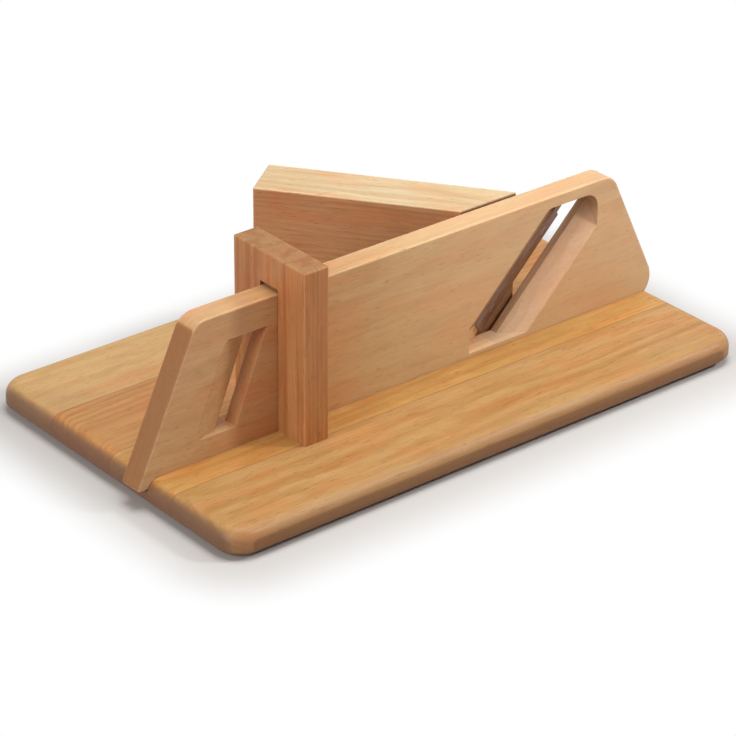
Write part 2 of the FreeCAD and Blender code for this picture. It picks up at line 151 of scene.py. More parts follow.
class Bench:
    """A node tree, and the one method that puts nodes in it."""

    def __init__(self, name, tree=None):
        if tree is None:
            self.material = bpy.data.materials.new(name)
            self.material.use_nodes = True
            tree = self.material.node_tree
        self.tree = tree
        self.tree.nodes.clear()

    def node(self, kind, settings=None, *values, out=0, **named):
        """Add a node, give it its settings, then its sockets' values or links."""
        made = self.tree.nodes.new(kind)
        for key, setting in (settings or {}).items():
            setattr(made, key, setting)
        for index, value in enumerate(values):
            self.plug(made.inputs[index], value)
        for key, value in named.items():
            self.plug(made.inputs[key.replace("_", " ")], value)
        return Wire(self, made.outputs[out]) if made.outputs else None

    def plug(self, socket, value):
        """Set a socket's value, or link a wire or a list of wires to it. None leaves it alone."""
        for item in value if isinstance(value, list) else [value]:
            if isinstance(item, Wire):
                self.tree.links.new(item.socket, socket)
            elif item is not None:
                socket.default_value = item

    def parts(self, vector):
        """The three numbers of a vector."""
        first = self.node("ShaderNodeSeparateXYZ", None, vector)
        return [Wire(self, output) for output in first.socket.node.outputs]

    def join(self, across=0.0, deep=0.0, up=0.0):
        return self.node("ShaderNodeCombineXYZ", None, across, deep, up)

    def place(self, where=(0, 0, 0), turn=(0, 0, 0)):
        """Object coordinates in a frame of their own: its origin and its turn."""
        coordinates = self.node("ShaderNodeTexCoord", out="Object")
        return self.node(
            "ShaderNodeMapping", {"vector_type": "TEXTURE"}, coordinates, where, turn)

    def axes(self):
        """How far a point lies along the board, towards its back and up."""
        return self.parts(self.place())

    def noise(self, vector, scale, detail):
        return self.node("ShaderNodeTexNoise", None, Vector=vector, Scale=scale, Detail=detail)

    def step(self, value, low, high):
        """0 up to low and 1 from high, with a soft change between. High may lie below low."""
        return self.node(
            "ShaderNodeMapRange", {"interpolation_type": "SMOOTHSTEP"}, value, low, high, 0.0, 1.0)

    def past(self, value, line, start, full):
        """0 up to `start` millimetres past a line, and 1 from `full` millimetres past it."""
        return self.step(value, line + start * MM, line + full * MM)

    def blend(self, amount, first, second, mode="MIX"):
        """Mix two colours. The Mix node's five sockets for other values stay as they are."""
        settings = {"data_type": "RGBA", "blend_type": mode, "clamp_factor": True}
        return self.node("ShaderNodeMix", settings, amount, *[None] * 5, first, second,
                         out=COLOUR_RESULT)

    def finish(self, shader):
        self.node("ShaderNodeOutputMaterial", None, shader)
        return self.material


# %% Colours


def paint(code):
    """A colour written as on a screen, made linear by the sRGB curve."""
    shares = [int(code[place:place + 2], 16) / 255 for place in (0, 2, 4)]
    linear = [share / 12.92 if share <= 0.04045 else ((share + 0.055) / 1.055) ** 2.4
              for share in shares]
    return (*linear, 1.0)


print("a mid brown is", [round(share, 3) for share in paint("a0764c")[:3]])

# %% [markdown]
# ## Wood
#
# A board is cut out of a trunk, so its figure is a cut through growth rings that lie round a pith
# somewhere beside the board. The shader does the same: it takes the distance from a line beside
# the piece, bends it a little, and turns every few millimetres of it into one ring. On the faces
# that run with the grain this gives long streaks, and on the ends it gives arcs, so end grain
# needs no extra work. Fibres, short dark pores and slow changes of tone go on top. An image would
# show a seam at each edge. A solid pattern has none.
#
# Nearly every pattern in wood is long along the grain and short across it. `Grain` keeps a piece's
# own coordinates and makes such noises from two numbers.

# %% Noise along the grain
SEED_SIDE = 0.37        # how far a seed of 1 moves the pattern sideways, in metres
SEED_DOWN = 0.61        # and how far down


class Grain:
    """Coordinates in a piece's own wood, with the grain along the turned X axis."""

    def __init__(self, bench, turn, seed):
        self.bench = bench
        along, side, up = bench.parts(bench.place(turn=turn))
        self.moved = bench.join(along + seed, side + seed * SEED_SIDE, up - seed * SEED_DOWN)
        self.moved_parts = bench.parts(self.moved)
        self.side = side
        self.up = up

    def noise(self, lengthwise, crosswise, detail):
        """Noise that changes this often in a metre along the grain, and across it."""
        along, side, up = self.moved_parts
        spot = self.bench.join(along * lengthwise, side * crosswise, up * crosswise)
        return self.bench.noise(spot, 1.0, detail)


# %% Growth rings
LATE_STARTS = 0.18      # the share of a ring at which it begins to darken
LATE_FULL = 0.82        # where its late wood is darkest
LATE_ENDS = 0.9         # and where it fades into the next ring


def late_wood_of(bench, grain, pith, ring, seed):
    """1 in the late wood of the rings, which lie round the pith and bend along the length."""
    beside, above = pith
    distance = ((grain.side - beside).squared() + (grain.up - above).squared()).root()
    slow_bend = grain.noise(4.2, 13.0, 2.0) * 5.2
    quick_bend = grain.noise(9.0, 30.0, 2.0) * 1.3
    rings = distance / (ring * MM) + slow_bend + quick_bend
    share = rings.cycle()
    next_ring = bench.step(share, LATE_ENDS, 1.0)
    late_wood = bench.step(share, LATE_STARTS, LATE_FULL) * (1.0 - next_ring)
    # no two rings are equally dark
    strength = bench.noise(bench.join(grain.moved_parts[0] * 2.0, rings * 0.37, seed), 1.0, 2.0)
    return late_wood * bench.step(strength, 0.28, 0.72)


# %% The wood shader
PATCHES = 0.7                               # how strongly patches lean to red or to yellow
RED_PATCH = (1.05, 0.87, 0.78, 1.0)
YELLOW_PATCH = (0.99, 1.05, 1.03, 1.0)


def timber(name, tones, pith, seed, turn=(0, 0, 0), ring=3.4,
           streak=0.55, bands=0.25, flame=0.3, rough=0.48, gains=(), shades=()):
    """Wood with its grain along the turned X axis.

    tones are those of the early wood, the late wood, the pores and the glow. pith is where the
    trunk's middle lies beside and above the piece, in metres, and ring is one ring in millimetres.
    Each gain gives a mask and a factor on the colour, each shade a mask, a tone and its amount.
    """
    bench = Bench(name)
    early, late, pore, glow = (paint(tone) for tone in tones)
    grain = Grain(bench, turn, seed)
    late_wood = late_wood_of(bench, grain, pith, ring, seed)
    coarse = grain.noise(16.0, 420.0, 3.0)
    fine = grain.noise(60.0, 1900.0, 2.0)
    pores = bench.step(grain.noise(150.0, 1500.0, 1.0), 0.64, 0.74)
    cloud = grain.noise(14.0, 34.0, 4.0)
    wash = bench.noise(grain.moved, 9.0, 2.0)
    # long bands a few millimetres wide, short flames along the grain, and patches of another hue
    band = grain.noise(3.0, 150.0, 2.0)
    lick = grain.noise(38.0, 170.0, 3.0)
    hue = grain.noise(21.0, 75.0, 3.0)

    colour = bench.blend(late_wood * streak, early, late)
    # each coat: its noise, the two values between which it comes in, its strength and its tone
    for noise, starts, full, strength, tone in (
            (band, 0.46, 0.62, bands, late),
            (lick, 0.5, 0.68, flame, late),
            (lick, 0.5, 0.34, flame * 0.8, glow),
            (cloud, 0.42, 0.78, 0.45, glow),
            (coarse, 0.5, 0.8, 0.4, late),
            (wash, 0.3, 0.75, 0.22, late)):
        colour = bench.blend(bench.step(noise, starts, full) * strength, colour, tone)
    colour = bench.blend(bench.step(hue, 0.48, 0.64) * PATCHES, colour, RED_PATCH, "MULTIPLY")
    colour = bench.blend(bench.step(hue, 0.5, 0.34) * PATCHES, colour, YELLOW_PATCH, "MULTIPLY")
    for mask, factor in (gain(bench) for gain in gains):
        colour = bench.blend(mask, colour, (*factor, 1.0), "MULTIPLY")
    colour = bench.blend(pores * 0.42, colour, pore)
    colour = bench.blend((fine - 0.5) * 0.5 + 0.12, colour, pore)
    for mask, tone, amount in (shade(bench) for shade in shades):
        colour = bench.blend(mask * amount, colour, paint(tone))

    # fibres and pores are rough and deep, and late wood is hard and smooth
    roughness = rough + (coarse - 0.5) * 0.16 + pores * 0.12 - late_wood * 0.05
    height = coarse * 0.35 + fine * 0.4 - pores * 0.7 - late_wood * 0.18
    surface = bench.node(
        "ShaderNodeBump", None, Strength=0.22, Distance=0.12 * MM, Height=height)
    return bench.finish(bench.node(
        "ShaderNodeBsdfPrincipled", None,
        Base_Color=colour, Roughness=roughness, Normal=surface, Specular_IOR_Level=0.3))


def dress(name, material):
    """Give a packed part its material."""
    mesh = nodes[name].data
    mesh.materials.clear()
    mesh.materials.append(material)
    print(material.name, "on", name)


# %% [markdown]
# ### The board
#
# The board is glued from four staves, and each comes from another place in the tree, so each has
# its own tone and its own figure. One material with painted joints would carry a streak from one
# stave into the next, so every stave has a wood of its own, with another pith and another seed.
# The rounded rim and the side are darker than the top, and darker still towards the feet and at
# the ends, which are end grain; this darkness is painted shade. A thin line of glue shows between
# neighbours. These are masks on the position, which every stave shares.

# %% Masks on the board
STAVES = 4
STAVE_WIDTH = HALF_WIDTH * 2 / STAVES
BOARD_CORNER = 16.0 * MM


def past_outline(bench):
    """How far a point lies outside the board's outline with its round corners, seen from above."""
    across, deep, _ = bench.parts(bench.place(where=(BOARD_MIDDLE, 0, 0)))
    long_part = (across.size() - (HALF_LENGTH - BOARD_CORNER)).larger(0.0)
    wide_part = (deep.size() - (HALF_WIDTH - BOARD_CORNER)).larger(0.0)
    return (long_part.squared() + wide_part.squared()).root() - BOARD_CORNER


def rim(bench):
    """The rounded rim and the side of the board, darkened as painted shade."""
    return bench.past(past_outline(bench), 0.0, -5.0, -0.3), "855a3e", 0.48


def right_rim(bench):
    """The rim of the right end: end grain, with painted shade that reaches a little further in."""
    across = bench.axes()[0]
    return bench.past(across, board_high.x, -7.0, -3.0), "6e4931", 0.5


def left_rim(bench):
    """The upright side of the left end: end grain under painted shade, the darkest part of the rim.
    """
    across = bench.axes()[0]
    return 1.0 - bench.past(across, board_low.x, 0.8, 4.5), "5a3f32", 0.68


def underside(bench):
    """The lower part of the side: painted shade, darker towards the feet."""
    up = bench.axes()[2]
    return 1.0 - bench.past(up, 0.0, 1.0, 12.0), "6e4d3c", 0.5


def glue(bench):
    """Hairlines between the staves."""
    deep = bench.axes()[1]
    line = ((deep / STAVE_WIDTH + 0.5).cycle() - 0.5).size() * STAVE_WIDTH
    return 1.0 - bench.past(line, 0.0, 0.12, 0.5), "623c1e", 0.5


print("staves", round(STAVE_WIDTH / MM, 1), "mm wide")

# %% Board staves
# rim, left_rim, right_rim and underside paint shade on the board; glue marks the real joints
BOARD_SHADES = (rim, left_rim, right_rim, underside, glue)
STAVE_WOODS = [
    ("board_stave_1", ("b5905e", "986931", "633c19", "ae7f48"), (-0.02, -0.16), 0.13),
    ("board_stave_2", ("c19559", "9d6a2e", "663d18", "b37d40"), (-0.11, -0.12), 0.71),
    ("board_stave_3", ("be8d55", "9a622c", "663916", "b1743c"), (0.15, -0.10), 1.37),
    ("board_stave_4", ("bc9866", "a17a45", "6d4620", "b9945e"), (0.02, -0.19), 2.09),
]
for name, tones, pith, seed in STAVE_WOODS:
    dress(name, timber(name + "_wood", tones, pith, seed, shades=BOARD_SHADES))

# %% [markdown]
# ### Post and fence
#
# The post stands with its grain upright, so that its top shows end grain. The fence lies with its
# grain along its own length, at an angle to the board. Both use the same shader, turned, because
# the grain then runs right on every face. An edge that hands and sausages rub loses its oil and
# goes pale. How far a point lies from the two faces that meet in an edge says how near the edge
# is, and a noise makes the band ragged.

# %% Rubbed edges
PALE_EDGE = (1.16, 1.2, 1.26)
EDGE_CORE = 0.3 * MM        # pale all over, this near the edge
EDGE_FADE = 0.7 * MM        # gone at this distance at least
EDGE_RAGGED = 2.4 * MM      # and this much further where the noise is strongest


def worn(bench, first, second):
    """Near an edge, where the distances to both its faces are small, in a ragged band."""
    ragged = bench.noise(bench.place(), 260.0, 3.0)
    return 1.0 - bench.step(first.larger(second), EDGE_CORE, EDGE_FADE + ragged * EDGE_RAGGED)


# %% The post
UPRIGHT_TURN = (0.0, math.radians(-90), 0.0)


def end_grain(bench):
    """The post's top: end grain, darker than the sides."""
    up = bench.axes()[2]
    return bench.past(up, post_high.z, -1.2, -0.2), (0.76, 0.9, 0.96)


def cheek(bench):
    """The post's broad left face: painted light, paler than its front."""
    across = bench.axes()[0]
    return 1.0 - bench.past(across, post_low.x, 0.2, 0.9), (1.14, 1.22, 1.4)


def post_edges(bench):
    """The post's long edges and those round its top."""
    across, deep, up = bench.parts(bench.place(where=(post_low + post_high) / 2))
    half = (post_high - post_low) / 2
    side = half.x - across.size()
    front = half.y - deep.size()
    top = half.z - up
    return worn(bench, side.smaller(front), side.larger(front).smaller(top)), PALE_EDGE


# cheek paints light on the post's left face
post_wood = timber(
    "post_wood", ("b47d4b", "94572b", "653417", "a56739"), (-0.05, 0.16), 3.3,
    turn=UPRIGHT_TURN, ring=2.6, streak=0.7, bands=0.6, gains=(end_grain, cheek, post_edges))
dress("guide_post", post_wood)

# %% The fence
FENCE_TURN = (0.0, 0.0, math.radians(-53.4))
fence_spots = [Matrix.Rotation(-FENCE_TURN[2], 3, "Z") @ vertex.co
               for vertex in nodes["fence_block"].data.vertices]
fence_front = min(spot.y for spot in fence_spots)
fence_back = max(spot.y for spot in fence_spots)
print("fence", round((fence_back - fence_front) / MM, 1), "mm thick")


def fence_sides(bench):
    """The fence's upright faces: painted shade, darker and redder than its top."""
    up = bench.axes()[2]
    return 1.0 - bench.past(up, fence_high.z, -1.2, -0.2), (0.93, 0.65, 0.54)


def fence_edges(bench):
    """The long edges round the fence's top."""
    _, deep, up = bench.parts(bench.place(turn=FENCE_TURN))
    face = (deep - fence_front).smaller(fence_back - deep)
    return worn(bench, fence_high.z - up, face), PALE_EDGE


def fence_end(bench):
    """The fence's end by the plank: end grain, made its darkest face by painted shade."""
    deep = bench.axes()[1]
    return 1.0 - bench.past(deep, fence_low.y, 0.2, 0.8), "553420", 0.62


# fence_sides and fence_end paint shade on the fence
fence_wood = timber(
    "fence_wood", ("d4c29d", "ad8455", "785232", "c39f71"), (0.12, -0.08), 4.9,
    turn=FENCE_TURN, ring=3.0, streak=0.42, bands=0.12, flame=0.2,
    gains=(fence_sides, fence_edges), shades=(fence_end,))
dress("fence_block", fence_wood)

# %% [markdown]
# ### The plank
#
# The plank is planed from a paler, pinker board with a quiet straight figure. Its cut faces aren't
# alike. The two leaning ends show end grain, which is darker. The bed under the blade is darkened
# with painted shade, and the ramp opposite it is paler with painted light. Painted shade also lies
# on the finger slot's right wall and under the corner over the ramp, painted light on the mouth's
# lower end, and a painted shadow beside the post; the plank is painted paler towards its right
# end and darker towards its left. The packed plank is one mesh, so these faces could be told
# apart by their normals, but a mask on the position also gives soft limits within a face. Each cut
# is found with a slanted coordinate, such as x - z for what runs at 45 degrees.

# %% Lines on the plank
HEEL_SLOPE = math.tan(math.radians(24.6))       # the left end's lean, off the upright
TOE_SLOPE = math.tan(math.radians(25.7))        # the right end's and the mouth's right wall's
GRIP_SLOPE = math.tan(math.radians(21.8))       # the finger slot's
GRIP_FOOT = plank_low.x + 48.7 * MM             # the slot's left wall at the board's top
MOUTH_FOOT = BOARD_TOP + 17.5 * MM              # the top of the mouth's upright lower end
plank_spots = [vertex.co for vertex in nodes["slide_plank"].data.vertices]
heel_line = min(spot.x - spot.z * HEEL_SLOPE for spot in plank_spots)
toe_line = max(spot.x + spot.z * TOE_SLOPE for spot in plank_spots)
edge_line = max(vertex.co.x - vertex.co.z for vertex in nodes["blade"].data.vertices)
print("heel", round(heel_line / MM, 1), "toe", round(toe_line / MM, 1),
      "blade's edge", round(edge_line / MM, 1))

# %% The plank's ends, stretches and edges


def plank_ends(bench):
    """The two leaning ends."""
    across, _, up = bench.axes()
    heel = 1.0 - bench.past(across - up * HEEL_SLOPE, heel_line, 0.2, 0.9)
    toe = bench.past(across + up * TOE_SLOPE, toe_line, -0.9, -0.2)
    return heel.larger(toe), "7c4a1c", 0.78


def far_half(bench):
    """Painted light: the plank grows paler and pinker towards its right end."""
    across = bench.axes()[0]
    return bench.past(across, 0.0, -90.0, 70.0), "e6c4a4", 0.28


def near_half(bench):
    """Painted shade: the plank's left part, a little redder and darker."""
    across = bench.axes()[0]
    return 1.0 - bench.past(across, 0.0, -140.0, -70.0), (0.96, 0.9, 1.02)


def painted_post_shadow(bench):
    """A painted shadow of the post on the stretch on both sides of it, a little redder than the
    rest.
    """
    across = bench.axes()[0]
    left = bench.past(across, post_low.x, -40.0, -12.0)
    right = 1.0 - bench.past(across, post_high.x, 5.0, 70.0)
    return left * right, (1.0, 0.87, 0.86)


def plank_edges(bench):
    """The edges round the plank's two faces."""
    across, deep, up = bench.axes()
    face = (deep - plank_low.y).smaller(plank_high.y - deep)
    end = (across - up * HEEL_SLOPE - heel_line).smaller(toe_line - across - up * TOE_SLOPE)
    return worn(bench, face, end.smaller(plank_high.z - up)), PALE_EDGE


# %% The finger slot and the mouth


def cut_through(bench, deep, up):
    """What lies between the plank's faces, below its top."""
    return (bench.past(deep, plank_low.y, 0.3, 0.8)
            * (1.0 - bench.past(deep, plank_high.y, -0.8, -0.3))
            * (1.0 - bench.past(up, plank_high.z, -4.0, -3.0)))


def grip_wall(bench):
    """Painted shade on the right wall of the finger slot, a little redder than the plank's face."""
    across, deep, up = bench.axes()
    slanted = across - (up - BOARD_TOP) * GRIP_SLOPE
    left = bench.past(slanted, GRIP_FOOT, 6.0, 8.0)
    right = 1.0 - bench.past(slanted, GRIP_FOOT, 40.0, 42.0)
    return cut_through(bench, deep, up) * (left * right), (1.0, 0.85, 0.72)


def inside_mouth(bench):
    """The walls of the mouth, the slanted coordinate across it, and the height."""
    across, deep, up = bench.axes()
    left = bench.past(across, blade_low.x, -9.0, -8.0)
    right = 1.0 - bench.past(across + up * TOE_SLOPE, toe_line, -8.0, -7.0)
    return cut_through(bench, deep, up) * left * right, across - up, up


def hook(bench):
    """Painted shadow under the rounded corner over the ramp, a little darker than the ramp."""
    walls, _, up = inside_mouth(bench)
    return walls * bench.past(up, plank_high.z, -23.0, -14.0), "8d5c2b", 0.4


def ramp(bench):
    """Painted light on the ramp that frees the slice, paler and pinker."""
    walls, slanted, _ = inside_mouth(bench)
    return walls * bench.past(slanted, edge_line, 0.5, 1.5), (1.08, 1.14, 1.55)


def bed(bench):
    """Painted shade on the bed on which the blade lies."""
    walls, slanted, up = inside_mouth(bench)
    left = 1.0 - bench.past(slanted, edge_line, 0.0, 1.0)
    return walls * bench.past(up, MOUTH_FOOT, -3.0, 0.0) * left, "5d3a24", 0.6


def mouth_foot(bench):
    """Painted light on the upright lower end of the mouth, paler than the bed."""
    walls, slanted, up = inside_mouth(bench)
    left = 1.0 - bench.past(slanted, edge_line, 0.0, 1.0)
    return walls * left * (1.0 - bench.past(up, MOUTH_FOOT, -3.0, 0.0)), (1.3, 1.34, 1.5)


# %% The plank's wood
# near_half, grip_wall, bed and hook paint shade, ramp, mouth_foot and far_half paint light, and the
# band beside the post paints its shadow
plank_wood = timber(
    "plank_wood", ("c9a774", "ad8352", "805733", "c09463"), (0.28, 0.02), 6.2,
    ring=4.2, streak=0.5, bands=0.15, rough=0.5,
    gains=(near_half, painted_post_shadow, grip_wall, ramp, mouth_foot, plank_edges),
    shades=(far_half, plank_ends, bed, hook))
dress("slide_plank", plank_wood)

# %% [markdown]
# ## Steel
#
# The blade is a strip of sheet steel. Its flat is brushed along its length and its bevel is
# ground. The brushing could be modelled, or painted as an image. A noise that is stretched
# along the edge gives the same fine lines at any distance. The blade leans two ways at once, and
# a frame of its own keeps the lines true to it. A brown coat is painted on the steel as shade and
# as a reflection of the brown wood round the mouth, and it stops short of the edge.

# %% Steel shader
TILT = math.radians(45)     # the mouth's lean along the plank
BED = math.radians(32)      # the bed's angle to the plank's face
bed_matrix = Matrix.Rotation(TILT, 3, "Y") @ Matrix.Rotation(BED, 3, "Z")


def steel(name, tone, lines, rough, turn=(0, 0, 0), painted_shade_coat=None):
    """Steel with fine lines along the turned Z axis. lines: how many in a metre along each axis."""
    bench = Bench(name)
    place = bench.place(turn=turn)
    across, deep, along = bench.parts(place)
    brushed = bench.noise(
        bench.join(across * lines[0], deep * lines[1], along * lines[2]), 1.0, 3.0)
    stain = bench.noise(place, 60.0, 4.0)
    colour = bench.blend(bench.step(stain, 0.45, 0.8) * 0.35, paint(tone), paint("6f6a64"))
    colour = bench.blend((brushed - 0.5) * 0.5 + 0.2, colour, paint("8b8985"))
    # a brown coat of painted shade and reflection, kept off the sharpened edge
    if painted_shade_coat:
        plank_x, _, plank_z = bench.axes()
        sharpened = bench.past(plank_x - plank_z, edge_line, -2.2, -0.6)
        coat = (1.0 - sharpened) * (0.8 + (stain - 0.5) * 0.6)
        colour = bench.blend(coat, colour, paint(painted_shade_coat))
    roughness = rough + (brushed - 0.5) * 0.2 + bench.step(stain, 0.5, 0.8) * 0.15
    surface = bench.node(
        "ShaderNodeBump", None, Strength=0.12, Distance=0.05 * MM, Height=brushed)
    return bench.finish(bench.node(
        "ShaderNodeBsdfPrincipled", None,
        Base_Color=colour, Metallic=1.0, Roughness=roughness, Normal=surface))


blade_steel = steel("blade_steel", "c9c8c4", lines=(2400.0, 2400.0, 120.0), rough=0.4,
                    turn=tuple(bed_matrix.to_euler()), painted_shade_coat="85583e")
dress("blade", blade_steel)
screw_steel = steel("screw_steel", "b9b6ae", lines=(480.0, 480.0, 480.0), rough=0.36)

# %% [markdown]
# ## Screws
#
# Six countersunk screws hold the slicer together: four from below, two in the blade. They are one
# thing repeated, so a Geometry Nodes tree makes them. It takes points, each with its own turn, and
# puts a screw on every point: a coned head with a slot sawn across it, a core, and a thread that
# is a spiral with a small profile swept along it. The sizes are the tree's inputs, so the same
# tree gives both kinds.

# %% A bench for shapes


class Workshop(Bench):
    """A Geometry Nodes tree with named sizes, which puts one shape on every point."""

    def __init__(self, name, **sizes):
        super().__init__(name, bpy.data.node_groups.new(name, "GeometryNodeTree"))
        face = self.tree.interface
        face.new_socket("Geometry", in_out="INPUT", socket_type="NodeSocketGeometry")
        face.new_socket("Geometry", in_out="OUTPUT", socket_type="NodeSocketGeometry")
        self.sockets = {}
        for key, value in sizes.items():
            kind = "NodeSocketInt" if isinstance(value, int) else "NodeSocketFloat"
            socket = face.new_socket(key, in_out="INPUT", socket_type=kind)
            socket.default_value = value
            self.sockets[key] = socket.identifier
        self.entry = self.tree.nodes.new("NodeGroupInput")
        self.exit = self.tree.nodes.new("NodeGroupOutput")

    def sizes(self, *keys):
        """Wires from the tree's inputs."""
        return [Wire(self, self.entry.outputs[key]) for key in keys]

    def moved(self, geometry, offset):
        return self.node("GeometryNodeTransform", None, Geometry=geometry, Translation=offset)

    def scatter(self, shape, material, turn=None):
        """Put the shape on every point, as a real mesh in its material."""
        points = Wire(self, self.entry.outputs[0])
        copies = self.node("GeometryNodeInstanceOnPoints", None,
                           Points=points, Instance=shape, Rotation=turn)
        real = self.node("GeometryNodeRealizeInstances", None, Geometry=copies)
        coated = self.node("GeometryNodeSetMaterial", None, Geometry=real, Material=material)
        self.plug(self.exit.inputs[0], coated)
        print(self.tree.name, "tree:", len(self.tree.nodes), "nodes")


# %% From points to a plain mesh


def harvest(carrier, workshop, name, **sizes):
    """Run a tree on a carrier mesh and keep the result as a plain mesh."""
    modifier = carrier.modifiers.new(name, "NODES")
    modifier.node_group = workshop.tree
    for key, value in sizes.items():
        modifier[workshop.sockets[key]] = value
    bpy.context.view_layer.update()
    shaped = carrier.evaluated_get(bpy.context.evaluated_depsgraph_get())
    mesh = bpy.data.meshes.new_from_object(shaped)
    piece = bpy.data.objects.new(name, mesh)
    bpy.context.scene.collection.objects.link(piece)
    bpy.data.objects.remove(carrier)
    print(f"{name}: {len(mesh.polygons)} faces")
    return piece


def carrier_of(places, name):
    """A mesh of bare points, each with the turn of what will stand on it."""
    mesh = bpy.data.meshes.new(name)
    mesh.from_pydata([place for place, _ in places], [], [])
    turns = mesh.attributes.new("turn", "FLOAT_VECTOR", "POINT")
    for index, (_, turn) in enumerate(places):
        turns.data[index].vector = turn
    carrier = bpy.data.objects.new(name, mesh)
    bpy.context.scene.collection.objects.link(carrier)
    return carrier


# %% The screw tree
CORE = 0.72             # shares of the shank's radius: the core under the thread,
RIDGE = 0.14            # and half the height of the thread's profile
THREADED = 0.9          # shares of the length under the head: how much of it has thread,
BARE = 0.08             # and how far below the head the thread starts
ROUND_STEPS = 20        # corners in one turn of the thread
SLOT_REACH = 3.0        # the slot's cutter is this many head radii long

screws = Workshop(
    "countersunk screw",
    head_radius=4.0 * MM, shank_radius=2.0 * MM, length=38.0 * MM,
    slot_width=1.0 * MM, slot_depth=1.1 * MM, pitch=1.6 * MM, sides=40,
)
head, shank, length = screws.sizes("head_radius", "shank_radius", "length")
slot_width, slot_depth, pitch, sides = screws.sizes("slot_width", "slot_depth", "pitch", "sides")
cone_height = head - shank
core_radius = shank * CORE
core_length = length - cone_height

cone = screws.node("GeometryNodeMeshCone", None, Vertices=sides,
                   Radius_Top=core_radius, Radius_Bottom=head, Depth=cone_height)
slot = screws.node("GeometryNodeMeshCube", None,
                   Size=screws.join(head * SLOT_REACH, slot_width, slot_depth * 2.0))
slotted = screws.node("GeometryNodeMeshBoolean", {"operation": "DIFFERENCE"},
                      Mesh_1=cone, Mesh_2=slot)
core = screws.node("GeometryNodeMeshCylinder", None, Vertices=sides,
                   Radius=core_radius, Depth=core_length)
core = screws.moved(core, screws.join(up=cone_height + core_length * 0.5))

threaded = core_length * THREADED
ridge_radius = shank * RIDGE
spiral = screws.node("GeometryNodeCurveSpiral", None, Resolution=ROUND_STEPS,
                     Rotations=threaded / pitch, Start_Radius=shank - ridge_radius,
                     End_Radius=shank - ridge_radius, Height=threaded)
ridge = screws.node("GeometryNodeCurvePrimitiveCircle", None, Resolution=4, Radius=ridge_radius)
thread = screws.node("GeometryNodeCurveToMesh", None, spiral, ridge)
thread = screws.moved(thread, screws.join(up=cone_height + core_length * BARE))
screw = screws.node("GeometryNodeJoinGeometry", None, Geometry=[slotted, core, thread])
own_turn = screws.node("GeometryNodeInputNamedAttribute", {"data_type": "FLOAT_VECTOR"},
                       Name="turn")
screws.scatter(screw, screw_steel, own_turn)

# %% [markdown]
# The packed screws say where the new ones go. The four under the board stand upright, each head
# at the lowest point of its packed screw. The two in the blade point into the bed.

# %% Find the screws' places
FLAT = 0.02 * MM        # corners this near the end of a solid lie on its flat end


def islands(mesh):
    """The separate solids of a packed node, each as a list of its corners."""
    group = list(range(len(mesh.vertices)))

    def root(index):
        while group[index] != index:
            group[index] = group[group[index]]
            index = group[index]
        return index

    seen = {}
    for vertex in mesh.vertices:
        spot = tuple(round(value, 6) for value in vertex.co)
        if spot in seen:
            group[root(vertex.index)] = root(seen[spot])
        seen[spot] = vertex.index
    for face in mesh.polygons:
        first = root(face.vertices[0])
        for corner in face.vertices[1:]:
            group[root(corner)] = first
    found = {}
    for vertex in mesh.vertices:
        found.setdefault(root(vertex.index), []).append(vertex.co.copy())
    return list(found.values())


def head_of(corners, axis):
    """The middle of the flat end that lies furthest against an axis, and its radius."""
    lowest = min(corner.dot(axis) for corner in corners)
    flat = [corner for corner in corners if corner.dot(axis) < lowest + FLAT]
    middle = Vector([(min(values) + max(values)) / 2 for values in zip(*flat)])
    radius = max((corner - middle).length for corner in flat)
    print("head at", [round(value / MM, 1) for value in middle], "radius", round(radius / MM, 2))
    return middle, radius


UP = Vector((0, 0, 1))
SLOT_TURN = 0.7         # radians from one board screw's slot to the next
into_bed = bed_matrix @ Vector((0, 1, 0))
clamp_turn = into_bed.to_track_quat("Z", "Y").to_euler()
board_places = [(head_of(corners, UP)[0], (0, 0, SLOT_TURN * index))
                for index, corners in enumerate(islands(nodes["wood_screws"].data))]
clamp_places = [(head_of(corners, into_bed)[0], clamp_turn)
                for corners in islands(nodes["blade_screws"].data)]

# %% Make both kinds of screw
board_screws = harvest(carrier_of(board_places, "board_screw_points"), screws, "board_screws")
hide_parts("wood_screws")
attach(board_screws, "base")

clamp_screws = harvest(
    carrier_of(clamp_places, "clamp_points"), screws, "clamp_screws",
    head_radius=2.8 * MM, shank_radius=1.5 * MM, length=7.5 * MM,
    slot_width=0.8 * MM, slot_depth=0.7 * MM, pitch=0.9 * MM,
)
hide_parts("blade_screws")
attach(clamp_screws, "plank")

# %% [markdown]
# ## Feet
#
# Four soft feet keep the board off the table. A moulded foot isn't a plain disc: its lower edge is
# rounded and it narrows a little towards the board. It could be turned from a drawn outline. Here
# one rule gives the radius at every height, so the tree makes a cylinder in thin slices and moves
# each slice out or in by that rule.

# %% Rubber
bench = Bench("foot_rubber")
grit = bench.noise(bench.place(), 1400.0, 3.0)
dust = bench.noise(bench.place(), 120.0, 4.0)
tone = bench.blend(bench.step(dust, 0.45, 0.75) * 0.5, paint("37332f"), paint("5a544c"))
tone = bench.blend((grit - 0.5) * 0.6 + 0.2, tone, paint("24211e"))
rubber = bench.finish(bench.node(
    "ShaderNodeBsdfPrincipled", None, Base_Color=tone,
    Roughness=0.72 + (grit - 0.5) * 0.2,
    Normal=bench.node("ShaderNodeBump", None, Strength=0.2, Distance=0.05 * MM, Height=grit)))
print(rubber.name, "made")

